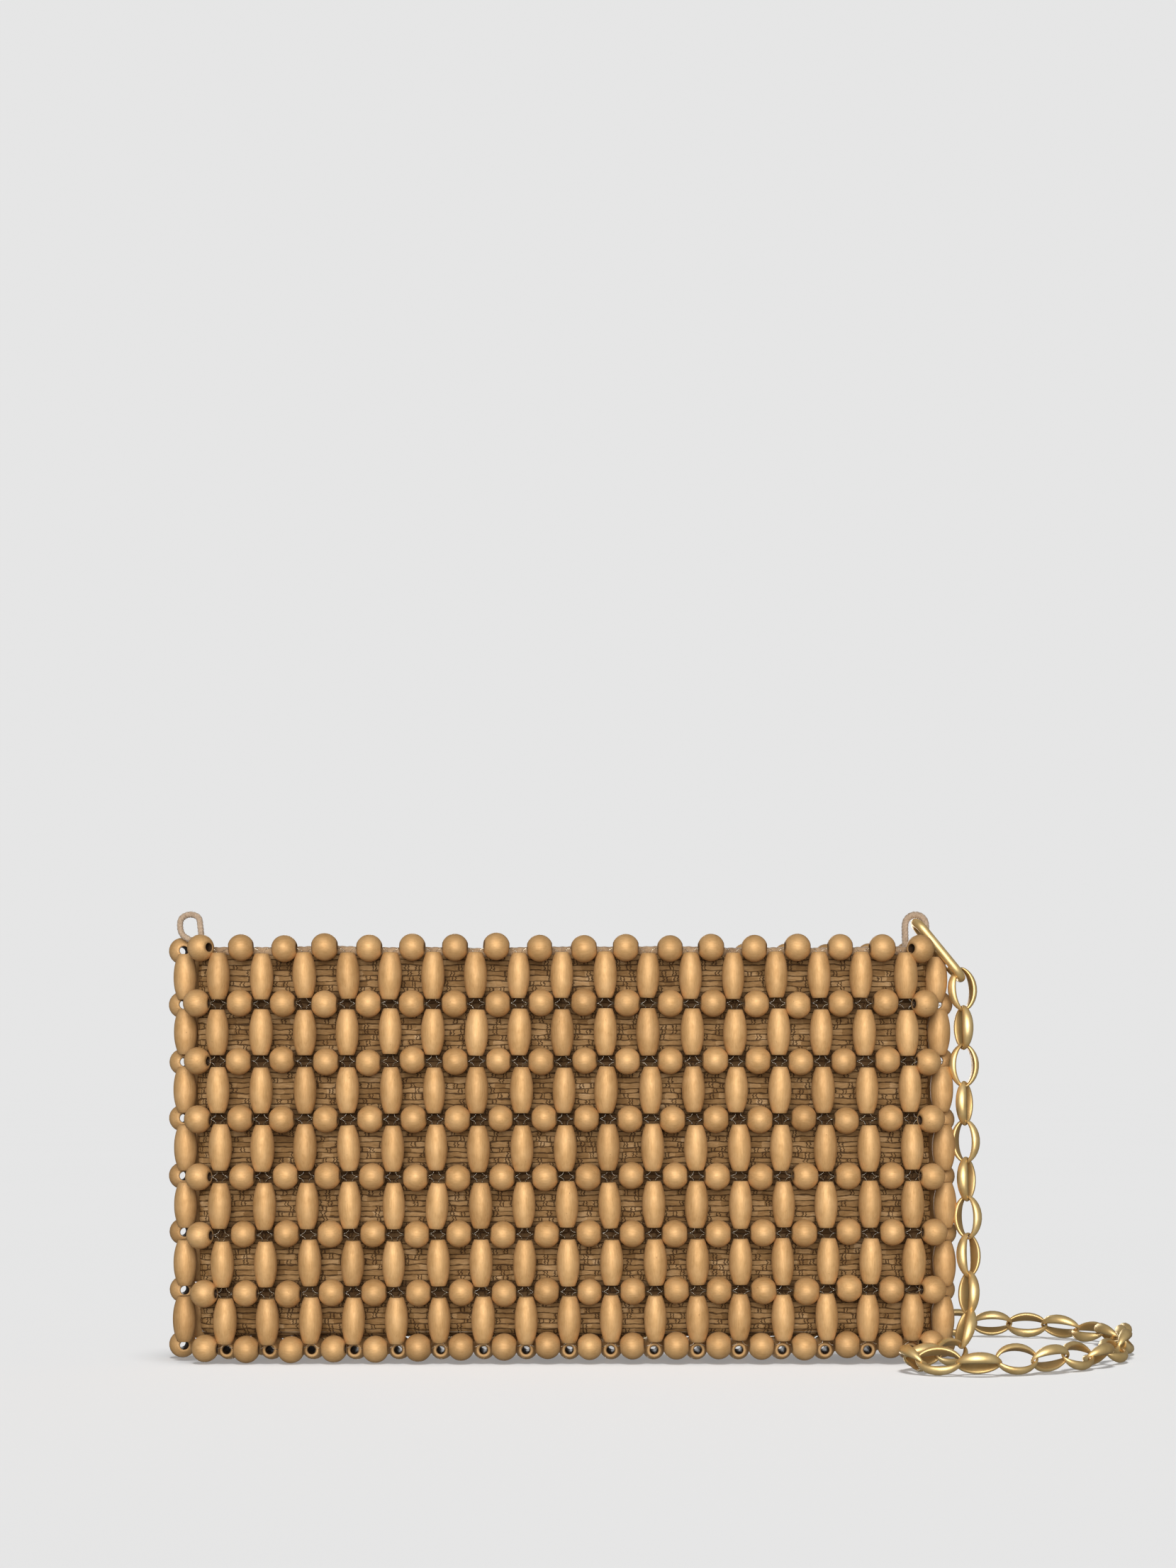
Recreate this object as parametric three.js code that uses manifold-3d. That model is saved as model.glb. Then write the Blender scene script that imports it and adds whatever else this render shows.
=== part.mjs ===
// Evening bag: a net of wooden beads over a woven pouch, with a detachable chain strap.
// Millimetres. X runs along the bag, the front faces -Y, +Z is up, and the bag stands on z = 0.
import * as THREE from 'three';
import { mergeVertices } from 'three/addons/utils/BufferGeometryUtils.js';
import Module from 'manifold-3d';

const wasm = await Module();
wasm.setup();

// ---- Driving dimensions: the bead net ----
const ROUND_D = 9.5;           // diameter of a round bead
const BARREL_D = 7.8;          // widest diameter of a barrel bead
const BARREL_L = 16.3;         // length of a barrel bead
const ROW_PITCH = 20.15;       // height from one row of round beads to the next
const ROUND_ROWS = 8;
const FRONT_HALF_X = 133.1;    // half length of the front face of the net
const BACK_HALF_X = 140.05;    // half length of the back face, which stands wider
const NET_Y = 11;              // distance of each face's bead centres from the middle
const SIDE_X = { left: -134.4, right: 133.6 };   // centre of the column of barrels at each end
const SIDE_Y = -1.4;
const SIDE_BASE_Z = 1;
const SIDE_TOP_DROP = { left: 1.8, right: 8.3 };  // from the top row's centre to each column's top
const GAP = 0.3;               // clearance between touching pieces

// ---- Driving dimensions: the pouch ----
const POUCH_HALF_X = 129.2;
const POUCH_BASE_Z = 8.4;
const POUCH_TOP_Z = 143.2;
const WOVEN_T = 1;             // thickness of the woven cloth
const LINING_T = 0.4;
const HEM_T = 2.4;             // thickness of the rolled hem, front to back
const HEM_TOP_Z = 147.2;
const SNAP_R = 7;
const SNAP_Z = 128;

// ---- Driving dimensions: loops, clasps and chain ----
const RIGHT_LOOP_R = 1.2;      // radius of the loops' cord
const LEFT_LOOP_R = 1;
const RIGHT_LOOP_X = 126.3;    // middle of the right loop
const RIGHT_LOOP_BEND = 3.7;   // radius of the arch at the top of the loop
const RIGHT_LOOP_SPRING_Z = 155.2;
const RIGHT_LOOP_LEG_Z = 151;
const CLASP_WIRE_R = 1.5;
const CLASP_SLANT = -39.3 * Math.PI / 180;       // lean of the clasp that hangs in the right loop
const RIGHT_CLASP = [134.4, 0, 146.2];           // centre of the hanging clasp
const LEFT_CLASP = [-91, 38, 1.8];               // centre of the clasp that lies on the ground
const CLASP_HALF_WIDTH = 4.4;  // from the clasp's long axis to the middle of its wire
const CLASP_STRAIGHT = 8.3;    // half length of the clasp's straight sides
const GATE_TOP = 3.5;          // the gate's free end, above the clasp's centre
const GATE_HINGE = -5;         // the gate's hinge pin, below the clasp's centre
const PIN_R = 0.45;
const PIN_BORE_R = 0.6;
const PIN_L = 2.6;
const TONGUE_HALF = 0.6;       // half thickness of the gate's tongue
const TONGUE_REACH = 0.95;     // from the pin to the tongue's rounded-off edges
const SLOT_HALF = 0.95;        // half width of the slot that the tongue turns in
const SLOT_BELOW = 1.6;
const EAR_REACH = 1.4;         // from the pin to the top of the body's ears
const CHAIN_R = 4.8;           // outer radius of the chain's envelope

const COLOURS = {
  bead: { color: '#c8965c', roughness: 0.42, metalness: 0.55 },
  raffia: { color: '#8f7350', roughness: 0.9, metalness: 0 },
  hem: { color: '#c9a488', roughness: 0.85, metalness: 0 },
  lining: { color: '#a98f6c', roughness: 0.8, metalness: 0 },
  brass: { color: '#b8974f', roughness: 0.3, metalness: 1 },
  steel: { color: '#9a9388', roughness: 0.35, metalness: 1 },
};

const bag = new THREE.Group();

// ---- Helpers ----
function addMesh(name, geometry, look, parent = bag) {
  const mesh = new THREE.Mesh(geometry, new THREE.MeshStandardMaterial(COLOURS[look]));
  mesh.name = name;
  parent.add(mesh);
  return mesh;
}

function toSolid(geometry) {
  const bare = geometry.clone();
  bare.deleteAttribute('normal');
  bare.deleteAttribute('uv');
  const merged = mergeVertices(bare, 1e-4);
  return new wasm.Manifold(new wasm.Mesh({
    numProp: 3,
    vertProperties: new Float32Array(merged.attributes.position.array),
    triVerts: new Uint32Array(merged.index.array),
  }));
}

function toGeometry(solid) {
  const mesh = solid.getMesh();
  const geometry = new THREE.BufferGeometry();
  geometry.setAttribute('position', new THREE.BufferAttribute(mesh.vertProperties, 3));
  geometry.setIndex(new THREE.BufferAttribute(mesh.triVerts, 1));
  return geometry;
}

function boxFromTo(low, high) {
  const size = high.map((value, i) => value - low[i]);
  const geometry = new THREE.BoxGeometry(...size);
  geometry.translate(...high.map((value, i) => (value + low[i]) / 2));
  return geometry;
}

// A flat outline of points, extruded by `depth` along its own Z.
function prism(points, depth) {
  const shape = new THREE.Shape(points.map(([x, y]) => new THREE.Vector2(x, y)));
  return new THREE.ExtrudeGeometry(shape, { depth, bevelEnabled: false });
}

// An outline in (y, z) extruded along X from x0 to x1.
function prismAlongX(points, x0, x1) {
  const geometry = prism(points, x1 - x0);
  geometry.applyMatrix4(new THREE.Matrix4().makeBasis(
    new THREE.Vector3(0, 1, 0), new THREE.Vector3(0, 0, 1), new THREE.Vector3(1, 0, 0)));
  geometry.translate(x0, 0, 0);
  return geometry;
}

function octagon(apothem, centreY = 0, centreZ = 0) {
  const radius = apothem / Math.cos(Math.PI / 8);
  const corners = Array.from({ length: 8 }, (_, i) => (i + 0.5) * Math.PI / 4);
  return corners.map((a) => [centreY + radius * Math.cos(a), centreZ + radius * Math.sin(a)]);
}

// A round cord or wire along a curve.
function tube(curve, radius, sides, steps) {
  const shape = new THREE.Shape();
  shape.setFromPoints(Array.from({ length: sides }, (_, i) => {
    const a = i * 2 * Math.PI / sides;
    return new THREE.Vector2(radius * Math.cos(a), radius * Math.sin(a));
  }));
  return new THREE.ExtrudeGeometry(shape, { extrudePath: curve, steps, bevelEnabled: false });
}

function smoothPath(points) {
  return new THREE.CatmullRomCurve3(points.map((p) => new THREE.Vector3(...p)), false, 'centripetal');
}

// ---- Bead net: one solid for each row of beads on each face ----
const rowZ = (row) => ROUND_D / 2 + (row - 1) * ROW_PITCH;

function addRoundRow(face, row, y, xLow, xHigh) {
  const bar = prismAlongX(octagon(ROUND_D / 2, y, rowZ(row)), xLow, xHigh);
  addMesh(`${face}_round_beads_${row}`, bar, 'bead');
}

function addBarrelRow(face, row, y, xLow, xHigh) {
  const half = ROW_PITCH / 2 - ROUND_D / 2 - GAP;
  const shoulder = half * 0.4;
  const end = BARREL_D / 2 * 0.85;
  const outline = [
    [-end, -half], [end, -half], [BARREL_D / 2, -shoulder], [BARREL_D / 2, shoulder],
    [end, half], [-end, half], [-BARREL_D / 2, shoulder], [-BARREL_D / 2, -shoulder],
  ];
  const z = rowZ(row) + ROW_PITCH / 2;
  const slab = prismAlongX(outline.map(([py, pz]) => [py + y, pz + z]), xLow, xHigh);
  addMesh(`${face}_barrel_beads_${row}`, slab, 'bead');
}

for (let row = 1; row <= ROUND_ROWS; row += 1) {
  // The top back row stops short on the right, where the clasp hangs past it.
  const backRight = row === ROUND_ROWS ? FRONT_HALF_X : BACK_HALF_X;
  addRoundRow('front', row, -NET_Y, -FRONT_HALF_X, FRONT_HALF_X);
  addRoundRow('back', row, NET_Y, -BACK_HALF_X, backRight);
}
for (let row = 1; row < ROUND_ROWS; row += 1) {
  addBarrelRow('front', row, -NET_Y, -FRONT_HALF_X + ROUND_D / 2, FRONT_HALF_X - ROUND_D / 2);
  addBarrelRow('back', row, NET_Y, -FRONT_HALF_X, FRONT_HALF_X);
}

// The columns of barrels at the ends. The right one stays below the clasp that hangs over it.
for (const side of ['left', 'right']) {
  const topZ = rowZ(ROUND_ROWS) - SIDE_TOP_DROP[side];
  const column = prism(octagon(BARREL_D / 2), topZ - SIDE_BASE_Z);
  column.translate(SIDE_X[side], SIDE_Y, SIDE_BASE_Z);
  addMesh(`${side}_side_barrel_beads`, column, 'bead');
}

// Barrels that lie front to back across the base.
const baseHalfY = NET_Y - ROUND_D / 2 - GAP;
addMesh('base_barrel_beads', boxFromTo(
  [-FRONT_HALF_X + ROUND_D, -baseHalfY, GAP], [FRONT_HALF_X - ROUND_D, baseHalfY, BARREL_D]), 'bead');

// ---- Pouch: woven panels, rolled hem, lining and magnetic snap ----
const pouchOuterY = NET_Y - ROUND_D / 2 - GAP;
const pouchInnerY = pouchOuterY - WOVEN_T;
const liningInnerY = pouchInnerY - GAP - LINING_T;
const panelHalfX = POUCH_HALF_X - WOVEN_T - GAP;

// Adds the same flat piece to the front and, mirrored, to the back.
function addFrontAndBack(stem, look, halfX, yOuter, yInner, zLow, zHigh) {
  addMesh(`${stem}_front`, boxFromTo([-halfX, -yOuter, zLow], [halfX, -yInner, zHigh]), look);
  addMesh(`${stem}_back`, boxFromTo([-halfX, yInner, zLow], [halfX, yOuter, zHigh]), look);
}

const pouchFloorZ = POUCH_BASE_Z + WOVEN_T;
addFrontAndBack('pouch', 'raffia', panelHalfX, pouchOuterY, pouchInnerY, POUCH_BASE_Z, POUCH_TOP_Z);
addFrontAndBack('hem', 'hem', panelHalfX, pouchOuterY, pouchOuterY - HEM_T, POUCH_TOP_Z + GAP, HEM_TOP_Z);
addFrontAndBack('lining', 'lining', panelHalfX - GAP, pouchInnerY - GAP, liningInnerY,
  pouchFloorZ + GAP, POUCH_TOP_Z);
addMesh('pouch_base', boxFromTo(
  [-panelHalfX, -pouchInnerY + GAP, POUCH_BASE_Z], [panelHalfX, pouchInnerY - GAP, pouchFloorZ]), 'raffia');
for (const side of [-1, 1]) {
  const panel = boxFromTo(
    [POUCH_HALF_X - WOVEN_T, -pouchInnerY, POUCH_BASE_Z], [POUCH_HALF_X, pouchInnerY, HEM_TOP_Z]);
  if (side < 0) panel.rotateZ(Math.PI);
  addMesh(side < 0 ? 'pouch_left' : 'pouch_right', panel, 'raffia');
}

// Each half of the snap is a disc turned about Y; the stud stands out and the socket is hollowed.
function snapHalf(profile, towardsBack) {
  const disc = new THREE.LatheGeometry(profile.map(([r, h]) => new THREE.Vector2(r, h)), 24);
  const seat = liningInnerY - GAP;
  if (!towardsBack) disc.rotateX(Math.PI);
  disc.translate(0, towardsBack ? -seat : seat, SNAP_Z);
  return disc;
}

const STUD = [[0, 0], [SNAP_R, 0], [SNAP_R, 1], [2.4, 1.3], [2.4, 2.2], [0, 2.2]];
const SOCKET = [[0, 0], [SNAP_R, 0], [SNAP_R, 1.2], [3, 1.5], [3, 0.5], [0, 0.5]];
addMesh('snap_stud', snapHalf(STUD, true), 'steel');
addMesh('snap_socket', snapHalf(SOCKET, false), 'steel');

// ---- Cord loops at the two top corners ----
const legFoot = HEM_TOP_Z + GAP;
const loopLeg = (side) => RIGHT_LOOP_X + side * RIGHT_LOOP_BEND;
const archPoints = [[loopLeg(-1), 0, legFoot], [loopLeg(-1), 0, RIGHT_LOOP_LEG_Z]];
for (let i = 0; i <= 8; i += 1) {
  const a = Math.PI * (1 - i / 8);
  archPoints.push([loopLeg(Math.cos(a)), 0, RIGHT_LOOP_SPRING_Z + RIGHT_LOOP_BEND * Math.sin(a)]);
}
archPoints.push([loopLeg(1), 0, RIGHT_LOOP_LEG_Z], [loopLeg(1), 0, legFoot]);
addMesh('right_loop', tube(smoothPath(archPoints), RIGHT_LOOP_R, 8, 26), 'hem');

// The left loop is empty and leans outwards.
const LEFT_LOOP_PATH = [
  [-131.1, 0, 149], [-133.3, 0, 150.1], [-135.7, 0, 151.8], [-136.6, 0, 154.8], [-136, 0, 157.6],
  [-133.2, 0, 159], [-130.1, 0, 158], [-129.3, 0, 154.4], [-128.9, 0, 149],
];
addMesh('left_loop', tube(smoothPath(LEFT_LOOP_PATH), LEFT_LOOP_R, 8, 26), 'hem');

// ---- Spring-gate clasps ----
// Local frame: the ring lies in YZ with its long axis on Z, and the gate closes the -Y side.
function claspArc(centreZ, fromAngle, toAngle) {
  const steps = 8;
  return Array.from({ length: steps + 1 }, (_, i) => {
    const a = fromAngle + (toAngle - fromAngle) * i / steps;
    return [0, CLASP_HALF_WIDTH * Math.cos(a), centreZ + CLASP_HALF_WIDTH * Math.sin(a)];
  });
}

function claspBodyGeometry() {
  const upper = claspArc(CLASP_STRAIGHT, Math.PI, 0);
  const lower = claspArc(-CLASP_STRAIGHT, 0, -Math.PI);
  const start = [[0, -CLASP_HALF_WIDTH, GATE_TOP + GAP]];
  const finish = [[0, -CLASP_HALF_WIDTH, GATE_HINGE + EAR_REACH]];
  const curve = smoothPath([...start, ...upper, ...lower, ...finish]);
  const wire = toSolid(tube(curve, CLASP_WIRE_R, 10, 64));
  const slotDepth = 2 * CLASP_WIRE_R;
  const slot = toSolid(boxFromTo(
    [-SLOT_HALF, -CLASP_HALF_WIDTH - slotDepth, GATE_HINGE - SLOT_BELOW],
    [SLOT_HALF, -CLASP_HALF_WIDTH + slotDepth, GATE_HINGE + 2 * EAR_REACH]));
  const bore = toSolid(hingeCylinder(PIN_BORE_R, 4 * CLASP_WIRE_R));
  return toGeometry(wire.subtract(slot).subtract(bore));
}

function hingeCylinder(radius, length) {
  const cylinder = new THREE.CylinderGeometry(radius, radius, length, 12);
  cylinder.rotateZ(Math.PI / 2);
  cylinder.translate(0, -CLASP_HALF_WIDTH, GATE_HINGE);
  return cylinder;
}

// The gate: a round bar whose lower end is thinned to a tongue between the body's two ears.
function claspGateGeometry() {
  const shoulder = GATE_HINGE + EAR_REACH + GAP;
  const bar = new THREE.CylinderGeometry(CLASP_WIRE_R, CLASP_WIRE_R, GATE_TOP - shoulder, 10);
  bar.rotateX(Math.PI / 2);
  bar.translate(0, -CLASP_HALF_WIDTH, (GATE_TOP + shoulder) / 2);
  const tongue = boxFromTo(
    [-TONGUE_HALF, -CLASP_HALF_WIDTH - TONGUE_REACH, GATE_HINGE - TONGUE_REACH],
    [TONGUE_HALF, -CLASP_HALF_WIDTH + TONGUE_REACH, shoulder + TONGUE_REACH]);
  const bore = toSolid(hingeCylinder(PIN_BORE_R, 4 * CLASP_WIRE_R));
  return toGeometry(toSolid(bar).add(toSolid(tongue)).subtract(bore));
}

function addClasp(side, position, turn) {
  const clasp = new THREE.Group();
  clasp.position.set(...position);
  clasp.rotation.set(...turn);
  bag.add(clasp);
  addMesh(`${side}_clasp_body`, claspBodyGeometry(), 'brass', clasp);
  addMesh(`${side}_clasp_gate`, claspGateGeometry(), 'brass', clasp);
  addMesh(`${side}_clasp_pin`, hingeCylinder(PIN_R, PIN_L), 'brass', clasp);
}

// The right clasp hangs slanting in its loop with its gate to the back; the left one is unhooked and
// lies on the ground.
addClasp('right', RIGHT_CLASP, [0, CLASP_SLANT, Math.PI]);
addClasp('left', LEFT_CLASP, [0, -Math.PI / 2, 0]);

// ---- Chain: its envelope along the route that it hangs and lies in ----
const CHAIN_ROUTE = [
  [143.1, -2, 131.8], [143.2, -2, 112], [143.4, -2.3, 92], [143.8, -3, 72], [144.2, -4.2, 52],
  [144.4, -6, 34], [144, -8.6, 20], [142.6, -12.4, 10.5], [139.4, -17.6, 6], [134.4, -22.8, 5.1],
  [127.4, -26.8, 5.1], [119.8, -30, 5.1], [116.8, -35.4, 5.1], [120.6, -41.2, 5.1], [128.6, -44.6, 5.1],
  [140, -46, 5.1], [152, -44.6, 5.1], [164, -40.2, 5.1], [175.6, -33, 5.1], [186, -22.6, 5.1],
  [195.4, -9.4, 5.1], [202.6, 6, 5.1], [206, 22.6, 5.1], [205.8, 39.4, 5.1], [200.4, 54.6, 5.1],
  [190.6, 65, 5.1], [177.6, 70.4, 5.1], [162, 72, 5.1], [145, 69.6, 5.1], [128, 62.8, 5.1],
  [110, 54.4, 5.1], [90, 47.6, 5.1], [66, 43, 5.1], [40, 40.4, 5.1], [12, 39, 5.1], [-16, 38.4, 5.1],
  [-46, 38, 5.1], [-76.6, 38, 5.1],
];
addMesh('strap_chain', tube(smoothPath(CHAIN_ROUTE), CHAIN_R, 8, 78), 'brass');

export default bag;
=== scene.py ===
"""Evening bag: a net of gold-painted wooden beads on nylon line over a woven straw pouch, with a chain strap.

Metres, in the frame of the CAD model: X along the bag, the front faces -Y, Z up, standing on z = 0.
"""
import math

import bpy
import numpy as np
from mathutils import Matrix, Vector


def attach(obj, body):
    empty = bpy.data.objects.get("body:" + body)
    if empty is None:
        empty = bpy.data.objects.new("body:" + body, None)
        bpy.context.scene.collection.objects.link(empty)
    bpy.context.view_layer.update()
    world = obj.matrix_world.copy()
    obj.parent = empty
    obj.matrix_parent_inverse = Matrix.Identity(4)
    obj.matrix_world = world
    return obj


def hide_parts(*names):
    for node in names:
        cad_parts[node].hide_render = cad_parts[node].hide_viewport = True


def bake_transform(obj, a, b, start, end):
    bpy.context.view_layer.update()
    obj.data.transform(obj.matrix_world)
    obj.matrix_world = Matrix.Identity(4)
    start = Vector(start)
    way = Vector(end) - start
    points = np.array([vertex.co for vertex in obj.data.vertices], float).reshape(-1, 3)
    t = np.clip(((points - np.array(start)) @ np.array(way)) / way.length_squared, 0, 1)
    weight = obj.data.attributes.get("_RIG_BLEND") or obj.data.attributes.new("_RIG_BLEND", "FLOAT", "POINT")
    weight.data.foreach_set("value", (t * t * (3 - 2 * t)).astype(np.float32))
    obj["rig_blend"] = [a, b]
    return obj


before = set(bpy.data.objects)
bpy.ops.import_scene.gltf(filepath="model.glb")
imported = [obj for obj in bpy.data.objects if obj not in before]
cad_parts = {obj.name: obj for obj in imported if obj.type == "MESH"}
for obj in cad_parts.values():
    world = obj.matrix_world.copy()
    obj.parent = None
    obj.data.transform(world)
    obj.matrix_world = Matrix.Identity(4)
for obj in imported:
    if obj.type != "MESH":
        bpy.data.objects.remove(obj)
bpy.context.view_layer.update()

MM = 0.001
RNG = np.random.default_rng(20)
UP = np.array([0.0, 0.0, 1.0])

# Sizes and places are in millimetres, and become metres in Builder.make.

# ---- The bead net ----
ROUND_R = 4.85
ROUND_BORE_R = 1.7
ROUND_LENGTH = 0.985  # a round bead's length along its bore, as a share of its width
BARREL_R = 4.1
BARREL_END_R = 2.55
BARREL_HALF = 8.15
BARREL_BORE_R = 1.55
BEAD_SIDES = 22
ROW_HEIGHTS = (4.85, 24.5, 45.2, 65.6, 86.1, 106.5, 126.9, 146.4)
ROUND_ROWS = len(ROW_HEIGHTS)
FRONT_COLUMNS = 17  # columns of barrels
FRONT_PITCH = 15.1
BACK_COLUMNS = 19
BACK_PITCH = 14.75
NET_Y = 11.0  # distance of each face's bead centres from the middle
CORNER_INSET = {-1: 0.4, 1: 0.75}  # how far the front's end beads stand in, left and right
SIDE_BARREL = {-1: (-134.4, -1.4), 1: (133.8, -1.4)}
TOP_SIDE_SHIFT = (-0.6, 0.6, -1.5)  # clears the turning gate of the right clasp
BACK_CORNER = {-1: (-136.6, 5.6), 1: (135.2, 5.6)}
LINE_R = 0.11
JITTER = {"round": 0.22, "barrel": 0.18, "corner": 0.2, "side": 0.15, "base": 0.1, "line": 0.12}
SIZE_SPREAD = 0.012  # how much the beads' sizes differ, as a share
WIDTH_SPREAD = 0.015
CORNER_TURN = (0.1, 0.4)  # how far an end bead's bore turns outwards, as a slope
TOP_CORNER_TURN = 0.8
TOP_CORNER_INSET = 2.3  # the top end beads stand in by this many times CORNER_INSET
TOP_ROW_SAG = 2.4  # how far the back's top row hangs down at its middle
TOP_ROW_SLOPE = 1.0  # how much less at its right end, and more at its left

# ---- The pouch, its lining and its hem ----
POUCH_HALF_X = 129.9
POUCH_HALF_Y = 5.75
POUCH_BOTTOM = 8.6
POUCH_TOP = 145.0
POUCH_CORNER = 4.6
WOVEN_T = 0.75  # thickness of the woven cloth
STRAW_PITCH = 1.9
STITCH_PITCH = 3.8
LINING_GAP = 1.1  # from the pouch's outside to the lining's
LINING_T = 0.35
LINING_BOTTOM = 10.2
LINING_TOP = 144.2
HEM_R = 1.75
HEM_Z = 145.5
HEM_TURNS = 88

# ---- The cord loops ----
LOOP_R = {"right": 1.25, "left": 1.14}
LOOP_TURNS = 9
LOOP_FIBRES = 130
RIGHT_LOOP_X = 126.3
RIGHT_LOOP_BEND = 3.7  # radius of the arch at the top of the right loop
RIGHT_LOOP_SPRING_Z = 155.2

# ---- The strap ----
LINK_PITCH = 13.5
LINK_HALF = 7.6
LINK_HALF_WIDTH = 3.55
LINK_CLEARANCE = 0.25  # from the ground to a lying link
FIRST_LINK_TOP = (142.7, -0.4, 139.1)
CHAIN_LEAD = 7.0  # how far the first link starts before the route does
HANGING_TURNS = (-15, -13, -8, 26, 38, 31, 40, 50, 77, 80)  # each hanging link's own turn, in degrees
WIRE_R = 1.62
CLASP_HALF_WIDTH = 4.4
CLASP_STRAIGHT = 8.3  # half length of the clasp's straight sides
GATE_TOP = 3.5
GATE_HINGE = -5.0
EAR_R = 1.3
EAR_LAYERS = ((0.92, 0.0), (1.2, 0.0), (1.42, 0.35))  # distance from the middle, and inset of the outline
PIN_PROFILE = ((-1.62, 0.3), (-1.45, 0.62), (-1.3, 0.45), (1.3, 0.45), (1.45, 0.62), (1.62, 0.3))
CHAIN_ROUTE = [
    (143.1, -2, 131.8), (143.2, -2, 112), (143.4, -2.3, 92), (143.8, -3, 72), (144.2, -4.2, 52),
    (144.4, -6, 34), (144, -8.6, 20), (142.6, -12.4, 10.5), (139.4, -17.6, 6), (134.4, -22.8, 5.1),
    (127.4, -26.8, 5.1), (119.8, -30, 5.1), (116.8, -35.4, 5.1), (120.6, -41.2, 5.1), (128.6, -44.6, 5.1),
    (140, -46, 5.1), (152, -44.6, 5.1), (164, -40.2, 5.1), (175.6, -33, 5.1), (186, -22.6, 5.1),
    (195.4, -9.4, 5.1), (202.6, 6, 5.1), (206, 22.6, 5.1), (205.8, 39.4, 5.1), (200.4, 54.6, 5.1),
    (190.6, 65, 5.1), (177.6, 70.4, 5.1), (162, 72, 5.1), (145, 69.6, 5.1), (128, 62.8, 5.1),
    (110, 54.4, 5.1), (90, 47.6, 5.1), (66, 43, 5.1), (40, 40.4, 5.1), (12, 39, 5.1), (-16, 38.4, 5.1),
    (-46, 38, 5.1), (-76.6, 38, 5.1),
]

# ---- Light ----
ROOM_SEEN = 0.79  # brightness of the room behind
ROOM_FILL = 0.17  # brightness of the room as it lights the bag
FLOOR_SUN = 0.46  # brightness of the floor by the sun alone
FLOOR_ALBEDO = 0.5
FLOOR_GLOW = ROOM_SEEN - FLOOR_ALBEDO * ROOM_FILL - FLOOR_SUN  # the rest comes from the floor itself
FLOOR_HALF = 60000.0


# ---- Mesh tools ----
class Builder:
    """Collects vertices and faces in millimetres, with float attributes, and makes one mesh of them."""

    def __init__(self):
        self.verts = []
        self.faces = []
        self.attributes = {}
        self.count = 0

    def add(self, verts, faces, **attributes):
        verts = np.asarray(verts, float)
        self.verts.append(verts)
        self.faces.extend([np.asarray(group) + self.count for group in faces])
        for key, value in attributes.items():
            value = np.asarray(value, float)
            wide = (len(verts), 3) if value.ndim == 2 or value.shape == (3,) else (len(verts),)
            self.attributes.setdefault(key, []).append(np.broadcast_to(value, wide))
        self.count += len(verts)

    def make(self, name, material):
        verts = np.concatenate(self.verts) * MM
        mesh = bpy.data.meshes.new(name)
        loops = np.concatenate([group.ravel() for group in self.faces])
        sizes = np.concatenate([np.full(len(group), group.shape[1]) for group in self.faces])
        mesh.vertices.add(len(verts))
        mesh.vertices.foreach_set("co", verts.ravel())
        mesh.loops.add(len(loops))
        mesh.loops.foreach_set("vertex_index", loops.astype(np.int32))
        mesh.polygons.add(len(sizes))
        starts = np.concatenate([[0], np.cumsum(sizes)[:-1]])
        mesh.polygons.foreach_set("loop_start", starts.astype(np.int32))
        mesh.update(calc_edges=True)
        for key, values in self.attributes.items():
            data = np.concatenate(values)
            if data.ndim == 2:
                layer = mesh.attributes.new(key, "FLOAT_VECTOR", "POINT")
                layer.data.foreach_set("vector", data.astype(np.float32).ravel())
            else:
                layer = mesh.attributes.new(key, "FLOAT", "POINT")
                layer.data.foreach_set("value", data.astype(np.float32))
        mesh.validate()
        mesh.polygons.foreach_set("use_smooth", np.full(len(mesh.polygons), True))
        mesh.materials.append(material)
        obj = bpy.data.objects.new(name, mesh)
        bpy.context.scene.collection.objects.link(obj)
        return obj


def grid_faces(rows, columns, wrap_rows, wrap_columns):
    """Quads over a grid of rows x columns vertices."""
    r = np.arange(rows if wrap_rows else rows - 1)[:, None]
    c = np.arange(columns if wrap_columns else columns - 1)[None, :]
    r2 = (r + 1) % rows
    c2 = (c + 1) % columns
    quads = np.stack(np.broadcast_arrays(r * columns + c, r * columns + c2, r2 * columns + c2,
                                         r2 * columns + c), axis=-1)
    return quads.reshape(-1, 4)


def lathe(profile, sides):
    """A closed ring-shaped solid: profile is a closed loop of (radius, height) turned about Z."""
    profile = np.asarray(profile, float)
    a = np.arange(sides) * 2 * math.pi / sides
    radius, height = profile[:, 0:1], profile[:, 1:2]
    verts = np.stack([radius * np.cos(a), radius * np.sin(a), height + 0 * a], axis=-1)
    faces = grid_faces(len(profile), sides, True, True)
    return verts.reshape(-1, 3), faces[:, ::-1]


def smoothstep(x):
    x = min(max(x, 0.0), 1.0)
    return x * x * (3 - 2 * x)


def normalised(v):
    return v / np.maximum(np.linalg.norm(v, axis=-1, keepdims=True), 1e-12)


def rotation(axis, degrees):
    x, y, z = normalised(np.asarray(axis, float))
    a = math.radians(degrees)
    c, s = math.cos(a), math.sin(a)
    t = 1 - c
    return np.array([[t*x*x + c, t*x*y - s*z, t*x*z + s*y],
                     [t*x*y + s*z, t*y*y + c, t*y*z - s*x],
                     [t*x*z - s*y, t*y*z + s*x, t*z*z + c]])


def turn_z_to(direction):
    """A rotation that takes +Z to direction."""
    z = normalised(np.asarray(direction, float))
    helper = np.array([0.0, 1.0, 0.0]) if abs(z[1]) < 0.9 else np.array([1.0, 0.0, 0.0])
    x = normalised(np.cross(helper, z))
    return np.stack([x, np.cross(z, x), z], axis=1)


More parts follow.
